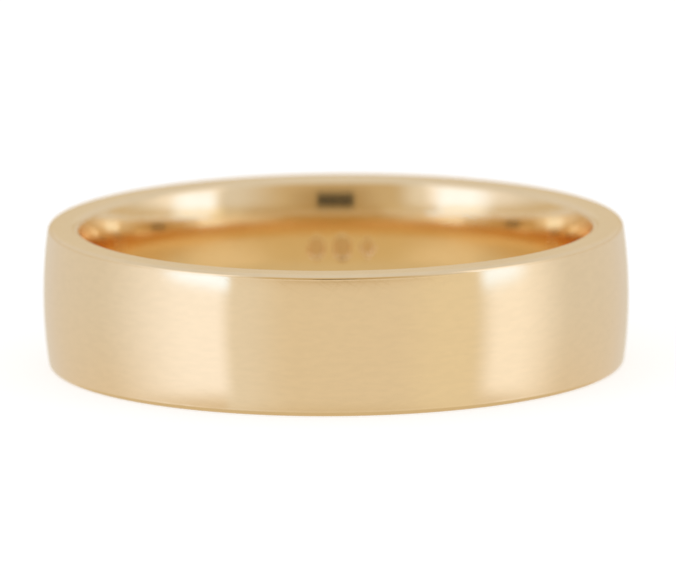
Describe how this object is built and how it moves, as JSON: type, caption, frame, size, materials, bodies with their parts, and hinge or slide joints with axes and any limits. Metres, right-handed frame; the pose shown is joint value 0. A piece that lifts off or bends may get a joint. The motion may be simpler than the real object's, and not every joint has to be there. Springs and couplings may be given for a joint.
{
  "type": "wedding band",
  "caption": "Plain domed finger ring with flat side faces, a comfort-fit bore and small blank punch marks inside.",
  "frame": {"origin": "centre of the bore at half the band's width", "axes": "+Z along the finger axis, +Y towards the inside wall that carries the punch marks, +X to complete the set"},
  "size_m": [0.0224, 0.0224, 0.0054],
  "materials": {
    "gold": "high polish"
  },
  "bodies": {
    "root": {"band": "gold"}
  },
  "joints": []
}
